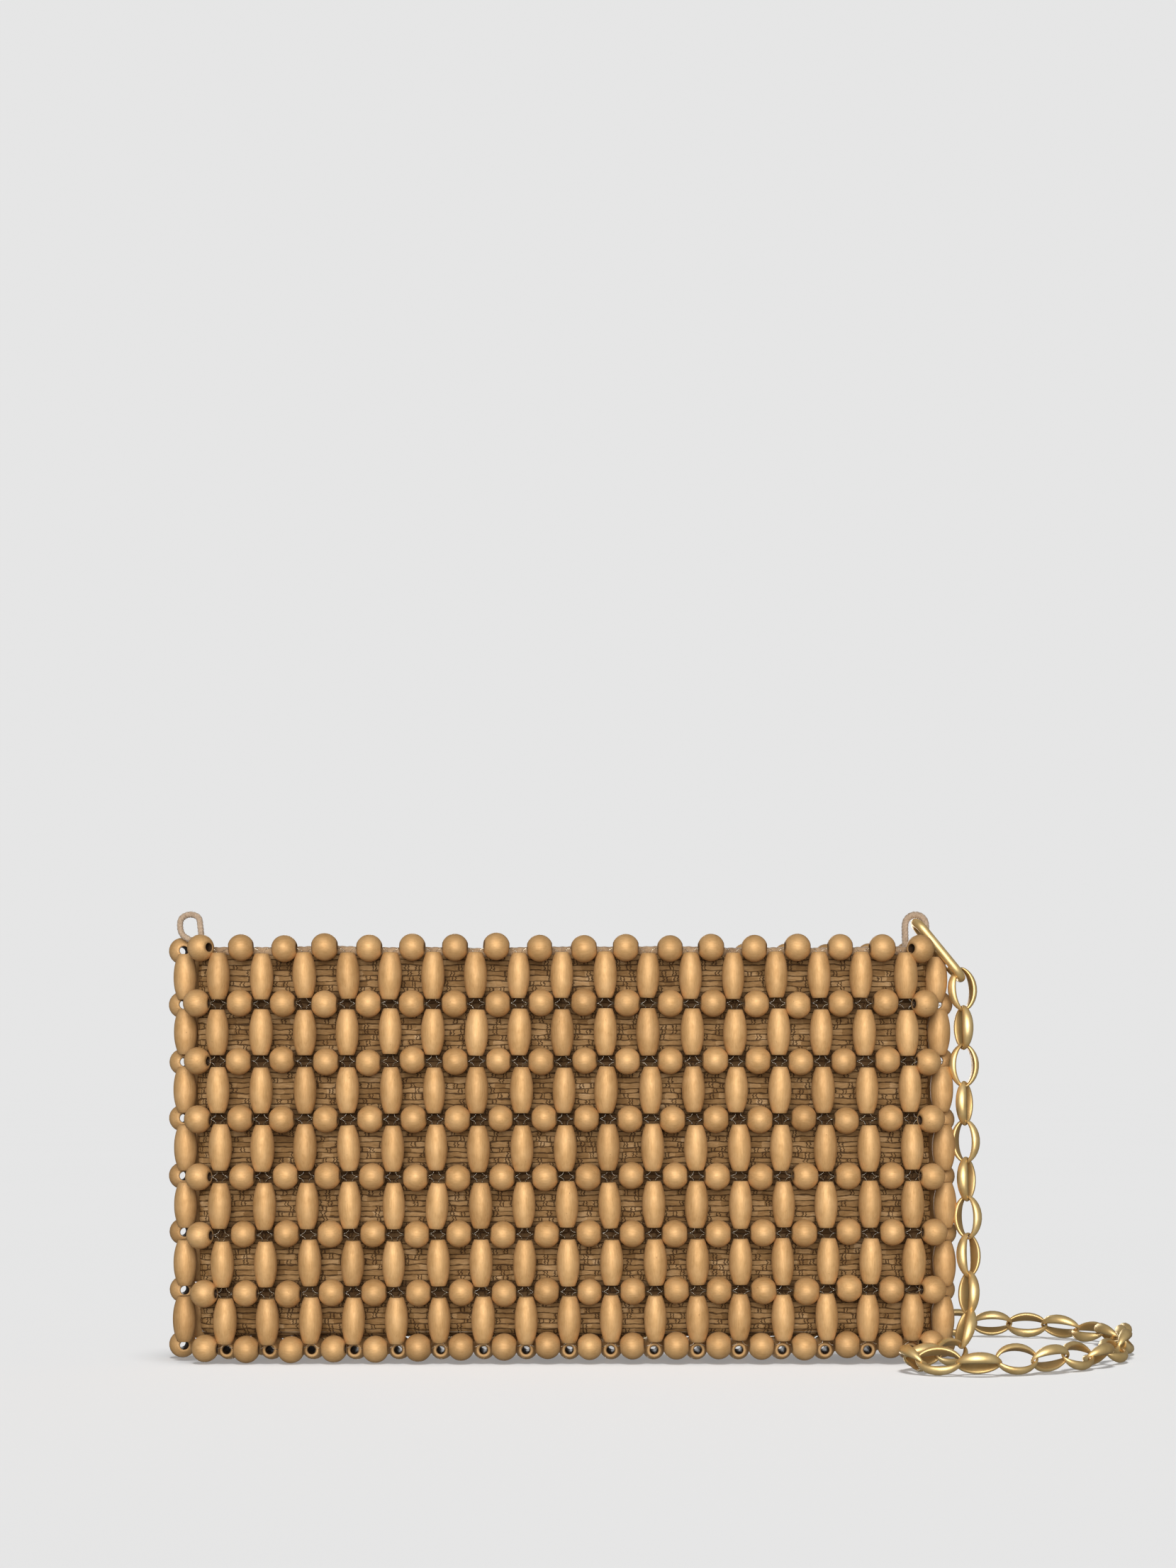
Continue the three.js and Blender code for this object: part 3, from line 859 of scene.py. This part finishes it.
def add_round_row(builder, face, row):
    """A row of round beads. The front's end beads turn at the corners, and the back's top row sags."""
    top = row == ROUND_ROWS
    for i in range(face.rounds):
        x = face.x(i, face.rounds)
        centre = net_place(x, face.half, row_z(row), face.y) + jitter(JITTER["round"])
        size = RNG.normal(1.0, SIZE_SPREAD)
        if row == 1:
            centre[2] = max(centre[2], ROUND_R * size)
        axis = (1, RNG.normal(0, 0.07), RNG.normal(0, 0.05))
        if face is FRONT and i in (0, face.rounds - 1):
            side = math.copysign(1, x)
            opened = TOP_CORNER_TURN if top else RNG.uniform(*CORNER_TURN)
            axis = (1, side * opened, RNG.normal(0, 0.05))
            centre[0] -= side * CORNER_INSET[side] * (TOP_CORNER_INSET if top else 1.0)
        if face is BACK and top:
            centre[2] -= TOP_ROW_SAG - TOP_ROW_SLOPE * x / face.half
        ROUNDS.add(builder, centre, turn_z_to(axis), ROUND_LENGTH * size, size)


def add_back_corners(builder, row):
    """The beads at the two ends of a row, behind the side barrels."""
    for side in (-1, 1):
        x, y = BACK_CORNER[side]
        pulled = 4.0 if side > 0 and row == ROUND_ROWS else 0.0
        dx = net_drift(1, row_z(row) / row_z(ROUND_ROWS))[0] if side > 0 else 0.0
        place = np.array([x + 0.45 * dx - pulled, y + pulled * 1.45, row_z(row)])
        centre = place + jitter(JITTER["corner"])
        if row == 1:
            centre[2] = ROUND_R
        ROUNDS.add(builder, centre, turn_z_to((-side * 0.3, -0.95, 0)), ROUND_LENGTH, 1.0)


def add_barrel_row(builder, face, row):
    """A row of barrels, over row number row of the round beads."""
    for i in range(face.columns):
        place = net_place(face.x(i, face.columns), face.half, barrel_z(row), face.y)
        centre = place + jitter(JITTER["barrel"])
        BARRELS.add(builder, centre, tilt(1.6), RNG.normal(1.0, SIZE_SPREAD), RNG.normal(1.0, WIDTH_SPREAD))


def add_line(builder, start, corner, finish):
    """A quarter turn of line from one bead's bore into the next one's."""
    t = np.linspace(0, 1, 6)[:, None]
    curve = (1 - t) ** 2 * start + 2 * t * (1 - t) * corner + t ** 2 * finish
    verts, faces = sweep(curve, lambda i, n: circle(LINE_R, 5), (0.3, 1.0, 0.2))
    builder.add(verts, faces)


def add_line_row(builder, face, row):
    """The line at a row's joints, where it turns from the round beads into the barrels above and below."""
    outward = math.copysign(1, face.y)
    for i in range(face.columns):
        joint = net_place(face.x(i, face.columns), face.half, row_z(row), face.y)
        if row == 1:
            joint[2] = max(joint[2], ROUND_R)
        for side in (-1, 1):
            mouth = joint + np.array([side * (face.pitch / 2 - 4.0), 0, 0])
            for way in (-1, 1):
                if way < 0 and row == 1 or way > 0 and row == ROUND_ROWS:
                    continue
                end = joint + np.array([side * 0.9, 0.2 * outward, way * 2.4])
                shift = np.array([0, 0.3 * outward, 0]) + jitter(JITTER["line"])
                corner = joint + shift + np.array([side * 0.5, 0, way * 0.4])
                add_line(builder, mouth + shift, corner, end)


def make_face(face):
    """One face of the net: rows of round beads, rows of barrels between them, and the line in the joints."""
    for row in range(1, ROUND_ROWS + 1):
        builder = Builder()
        add_round_row(builder, face, row)
        if face is BACK:
            add_back_corners(builder, row)
        piece = builder.make(f"{face.name}_rounds_row_{row}", GOLD_WOOD)
        finish_beads(piece, f"{face.name}_round_beads_{row}")
    for row in range(1, ROUND_ROWS):
        builder = Builder()
        add_barrel_row(builder, face, row)
        piece = builder.make(f"{face.name}_barrels_row_{row}", GOLD_WOOD)
        finish_beads(piece, f"{face.name}_barrel_beads_{row}")
    builder = Builder()
    for row in range(1, ROUND_ROWS + 1):
        add_line_row(builder, face, row)
    nylon = builder.make(f"{face.name}_nylon_line", NYLON)
    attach(nylon, "bag")


def finish_beads(piece, node):
    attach(piece, "bag")
    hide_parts(node)


def make_side_columns():
    """Barrels up each end of the bag, between the corner beads of the two faces."""
    for side, name in ((-1, "left"), (1, "right")):
        builder = Builder()
        for row in range(1, ROUND_ROWS):
            z = barrel_z(row)
            dx = net_drift(1, z / row_z(ROUND_ROWS))[0] * 0.8 if side > 0 else 0.0
            x, y = SIDE_BARREL[side]
            centre = np.array([x + dx, y, z]) + jitter(JITTER["side"])
            if side > 0 and row == ROUND_ROWS - 1:
                centre += np.array(TOP_SIDE_SHIFT)
            BARRELS.add(builder, centre, tilt(1.2))
        finish_beads(builder.make(f"{name}_side_barrels", GOLD_WOOD), f"{name}_side_barrel_beads")


def make_base():
    """Barrels lying front to back, one behind each joint of the lowest row."""
    builder = Builder()
    for i in range(FRONT_COLUMNS):
        place = net_place(FRONT.x(i, FRONT_COLUMNS), FRONT.half, row_z(1), 0)
        centre = np.array([place[0], 0.0, BARREL_R + 0.15]) + jitter(JITTER["base"]) * np.array([1, 1, 0])
        BARRELS.add(builder, centre, turn_z_to((RNG.normal(0, 0.02), 1, 0)))
    finish_beads(builder.make("base_barrels", GOLD_WOOD), "base_barrel_beads")


make_face(FRONT)
make_face(BACK)
make_side_columns()
make_base()


# ---- Pouch, lining and hem ----
def stadium(half_x, half_y, corner, count):
    """Points round a rounded rectangle from the middle of the front, and how far round each one is."""
    long, short = half_x - corner, half_y - corner
    quarter = math.pi / 2 * corner
    total = 4 * (long + short + quarter)
    lengths = (long, quarter, 2 * short, quarter, 2 * long, quarter, 2 * short, quarter, long)
    points = []
    for k in range(count):
        s = total * k / count
        j = 0
        while s > lengths[j] and j < 8:
            s -= lengths[j]
            j += 1
        x = corner * math.sin(s / corner)
        y = corner * math.cos(s / corner)
        front, right = (s, -half_y), (half_x, s - short)
        back, left = (long - s, half_y), (-half_x, short - s)
        stretches = (front, (long + x, -short - y), right, (long + y, short + x), back,
                     (-long - x, short + y), left, (-long - y, -short - x), (s - long, -half_y))
        points.append(stretches[j])
    return np.array(points), np.arange(count) * total / count


def loft(rings):
    """A closed skin through rings of points, capped at the first and the last."""
    columns = len(rings[0])
    verts = np.concatenate(rings)
    faces = [grid_faces(len(rings), columns, False, True)]
    faces.append(np.arange(columns)[None, ::-1])
    faces.append(np.arange(len(verts) - columns, len(verts))[None, :])
    return verts, faces


def painted_shade_behind_beads(z):
    """How much painted shade darkens the straw at height z, where a row of beads lying on it shades it: 1
    along the row, 0 clear of it.
    """
    away = min(abs(z - row_z(row) - 0.5) for row in range(1, ROUND_ROWS))
    return 1 - smoothstep((away - 2.6) / 2.0)


def make_pouch():
    """The woven pouch as one lofted cup: straws stand out in bands, and the cloth sags a little."""
    columns = 300
    outline, along = stadium(POUCH_HALF_X, POUCH_HALF_Y, POUCH_CORNER, columns)
    outward = normalised(np.stack([np.gradient(outline[:, 1]), -np.gradient(outline[:, 0])], axis=1))
    builder = Builder()
    levels = np.arange(POUCH_BOTTOM, POUCH_TOP, STRAW_PITCH / 3)
    rings, cloth, shade = [], [], []
    wave = RNG.uniform(0, 2 * math.pi, 2)

    def ring(z, inset, bulge):
        sag = 0.16 * np.sin(along * 0.045 + wave[0] + z * 0.03)
        sag = sag + 0.12 * np.sin(along * 0.11 + wave[1] - z * 0.06)
        sag = np.minimum(sag - 0.12, 0.1)
        foot = max(0.0, 1 - (z - POUCH_BOTTOM) / 4.0)
        shape = outline * np.array([1 - 0.012 * foot ** 2, 1 - 0.55 * foot ** 2])
        place = shape + outward * (sag + bulge - inset)[:, None]
        shift = net_drift(0, z / POUCH_TOP)[0]
        stretch = net_drift(1, z / POUCH_TOP)[0] - shift
        place[:, 0] += 0.5 * (shift + stretch * outline[:, 0] / POUCH_HALF_X)
        rings.append(np.column_stack([place, np.full(columns, z)]))
        cloth.append(np.column_stack([along, np.full(columns, z), np.full(columns, inset)]))
        # Painted shade: how much the rows of beads darken the straw at this height.
        shade.append(np.full(columns, painted_shade_behind_beads(z)))

    for z in levels:
        band = abs(math.sin(math.pi * z / STRAW_PITCH)) ** 0.7
        pinch = 0.08 * np.cos(2 * math.pi * along / STITCH_PITCH + 2.4 * round(z / STRAW_PITCH)) * band
        ring(z, 0.0, 0.2 * band - 0.2 + pinch)
    for z in (POUCH_TOP, 130.0, 100.0, 60.0, 30.0, POUCH_BOTTOM + 0.9):
        ring(z, WOVEN_T, np.zeros(columns))
    verts, faces = loft(rings)
    builder.add(verts, faces, cloth=np.concatenate(cloth), painted_bead_shade=np.concatenate(shade))
    piece = builder.make("woven_pouch", STRAW)
    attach(piece, "bag")
    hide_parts("pouch_front", "pouch_back", "pouch_left", "pouch_right", "pouch_base")


def make_lining():
    """A thin cloth cup inside the pouch."""
    columns = 160
    outline, along = stadium(POUCH_HALF_X - LINING_GAP, POUCH_HALF_Y - LINING_GAP, 3.6, columns)
    builder = Builder()
    rings, cloth = [], []
    outside = np.linspace(LINING_BOTTOM, LINING_TOP, 30)
    inside = np.linspace(LINING_TOP, LINING_BOTTOM + 0.4, 30)
    for inset, heights in ((0.0, outside), (LINING_T, inside)):
        for z in heights:
            crease = 0.12 * np.sin(along * 0.09 + 0.05 * z)
            shape = outline * np.array([1 - inset / POUCH_HALF_X, 1 - (inset + 0.26) / POUCH_HALF_Y])
            shape[:, 1] += crease * shape[:, 1] / POUCH_HALF_Y
            rings.append(np.column_stack([shape, np.full(columns, z)]))
            cloth.append(np.column_stack([along, np.full(columns, z), np.zeros(columns)]))
    verts, faces = loft(rings)
    builder.add(verts, faces, cloth=np.concatenate(cloth))
    piece = builder.make("cloth_lining", LINING)
    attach(piece, "bag")
    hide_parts("lining_front", "lining_back")


def make_hem():
    """A rolled cord sewn round the mouth."""
    outline, along = stadium(POUCH_HALF_X - 0.4, POUCH_HALF_Y - 1.2, 4.2, 560)
    lift = 0.25 * np.sin(along * 0.06) + 0.15 * np.sin(along * 0.17 + 1.0)
    line = np.column_stack([outline, HEM_Z + lift])
    line = np.concatenate([line, line[:1]])
    verts, faces = sweep(line, twisted_cord(HEM_R, 2, 14, HEM_TURNS), (0, 0, 1))
    builder = Builder()
    builder.add(verts, faces)
    piece = builder.make("rolled_hem", HEM_COTTON)
    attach(piece, "bag")
    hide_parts("hem_front", "hem_back")


make_pouch()
make_lining()
make_hem()


# ---- Cord loops ----
def fuzz(builder, line, radius, count, rng):
    """Short loose fibres standing out of a cord."""
    for _ in range(count):
        i = rng.integers(1, len(line) - 1)
        out = normalised(rng.normal(0, 1, 3))
        root = line[i] + out * radius * 0.8
        tip = root + normalised(out + rng.normal(0, 0.6, 3)) * rng.uniform(0.35, 0.9)
        middle = (root + tip) / 2 + rng.normal(0, 0.12, 3)
        taper = lambda k, n: circle((0.045, 0.04, 0.015)[k], 3)
        verts, faces = sweep(np.array([root, middle, tip]), taper, rng.normal(0, 1, 3))
        builder.add(verts, faces)


def right_loop_path():
    """Up one leg, over a round arch and down the other leg."""
    arch = []
    for k in range(9):
        a = math.pi * (1 - k / 8)
        arch.append((RIGHT_LOOP_X + RIGHT_LOOP_BEND * math.cos(a), 0,
                     RIGHT_LOOP_SPRING_Z + RIGHT_LOOP_BEND * math.sin(a)))
    return [(122.9, 0.3, 145.6), (122.7, 0, 149), (122.6, 0, 152), *arch,
            (130.0, 0, 152), (129.2, 0.2, 149), (128.0, 0.3, 145.6)]


LEFT_LOOP_PATH = [
    (-129.9, 0.2, 146), (-131.1, 0, 149), (-133.3, 0, 150.1), (-135.7, 0, 151.8), (-136.6, 0, 154.8),
    (-136, 0, 157.6), (-133.2, 0, 159), (-130.1, 0, 158), (-129.3, 0, 154.4), (-128.8, 0, 149),
    (-128.2, 0.2, 146),
]


def make_loops():
    """The fuzzy three-strand loops at the two top corners."""
    rng = np.random.default_rng(8)
    for name, points in (("right", right_loop_path()), ("left", LEFT_LOOP_PATH)):
        line = spline(points, 0.3)
        verts, faces = sweep(line, twisted_cord(LOOP_R[name], 3, 16, LOOP_TURNS), (0, 1, 0))
        builder = Builder()
        builder.add(verts, faces)
        fuzz(builder, line, LOOP_R[name], LOOP_FIBRES, rng)
        piece = builder.make(f"{name}_cord_loop", LOOP_COTTON)
        if name == "right":
            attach(piece, "bag")
        else:
            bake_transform(piece, "bag", "left_loop_cord", start=(-0.13, 0, 0.1468), end=(-0.13, 0, 0.1508))
        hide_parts(f"{name}_loop")


make_loops()

for node in ("snap_stud", "snap_socket"):
    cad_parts[node].material_slots[0].material = SNAP


# ---- Floor and light ----
def make_floor():
    """A wide pale floor with some light of its own, so that it meets the room without an edge."""
    m = Nodes("studio_floor")
    cloud = m.noise(m.place(), 3.0, detail=1)
    colour = m.ramp(cloud, (0.3, (0.498, 0.498, 0.498)), (0.7, (0.502, 0.502, 0.502)))
    m.surface(colour, m.spread(cloud, 0.9, 0.95), Specular_IOR_Level=0.0)
    m.shader.inputs["Emission Color"].default_value = (1.0, 1.0, 1.0, 1.0)
    m.shader.inputs["Emission Strength"].default_value = FLOOR_GLOW
    corners = [(x * FLOOR_HALF, y * FLOOR_HALF, 0) for x, y in ((-1, -1), (1, -1), (1, 1), (-1, 1))]
    builder = Builder()
    builder.add(corners, [np.array([[0, 1, 2, 3]])])
    floor = builder.make("studio_floor", m.material)
    floor.visible_diffuse = False
    floor.visible_glossy = False
    return floor


def all_but(obj):
    """A collection for light linking that leaves obj out."""
    collection = bpy.data.collections.new("not_the_floor")
    collection.objects.link(obj)
    collection.collection_objects[0].light_linking.link_state = "EXCLUDE"
    return collection


def area_light(name, place, target, size, energy, receivers):
    data = bpy.data.lights.new(name, "AREA")
    data.shape = "RECTANGLE"
    data.size, data.size_y = size
    data.energy = energy
    light = bpy.data.objects.new(name, data)
    light.location = place
    turn = turn_z_to(np.array(place, float) - np.array(target, float))
    light.rotation_euler = Matrix(turn.tolist()).to_euler()
    light.light_linking.receiver_collection = receivers
    bpy.context.scene.collection.objects.link(light)


def make_world():
    """A pale room behind, whose light on the bag is weak, so that the lamps shape it."""
    world = bpy.data.worlds.new("studio")
    world.use_nodes = True
    tree = world.node_tree
    seen = tree.nodes["Background"]
    seen.inputs["Strength"].default_value = ROOM_SEEN
    seen.inputs["Color"].default_value = (1.0, 1.0, 1.0, 1.0)
    fill = tree.nodes.new("ShaderNodeBackground")
    fill.inputs["Color"].default_value = (1.0, 1.0, 1.0, 1.0)
    fill.inputs["Strength"].default_value = ROOM_FILL
    path = tree.nodes.new("ShaderNodeLightPath")
    both = tree.nodes.new("ShaderNodeMixShader")
    tree.links.new(path.outputs["Is Camera Ray"], both.inputs["Fac"])
    tree.links.new(fill.outputs["Background"], both.inputs[1])
    tree.links.new(seen.outputs["Background"], both.inputs[2])
    tree.links.new(both.outputs["Shader"], tree.nodes["World Output"].inputs["Surface"])
    bpy.context.scene.world = world


def sun(name, tilt, angle, strength, receivers):
    data = bpy.data.lights.new(name, "SUN")
    data.energy = strength
    data.angle = math.radians(angle)
    light = bpy.data.objects.new(name, data)
    light.rotation_euler = [math.radians(a) for a in tilt]
    light.light_linking.receiver_collection = receivers
    bpy.context.scene.collection.objects.link(light)


floor = make_floor()
bag_only = all_but(floor)
floor_only = bpy.data.collections.new("the_floor")
floor_only.objects.link(floor)
make_world()
area_light("key", (-0.25, -1.5, 0.7), (0, 0, 0.08), (1.3, 1.0), 19.0, bag_only)
area_light("front", (0.15, -1.8, 0.2), (0, 0, 0.08), (1.6, 1.1), 33.0, bag_only)
area_light("back", (-0.2, 1.6, 0.06), (0, 0, 0.06), (1.6, 0.25), 15.0, bag_only)
sun("overhead", (4, 0, 0), 16, FLOOR_SUN * math.pi / FLOOR_ALBEDO, floor_only)
bpy.context.scene.view_settings.view_transform = "Standard"
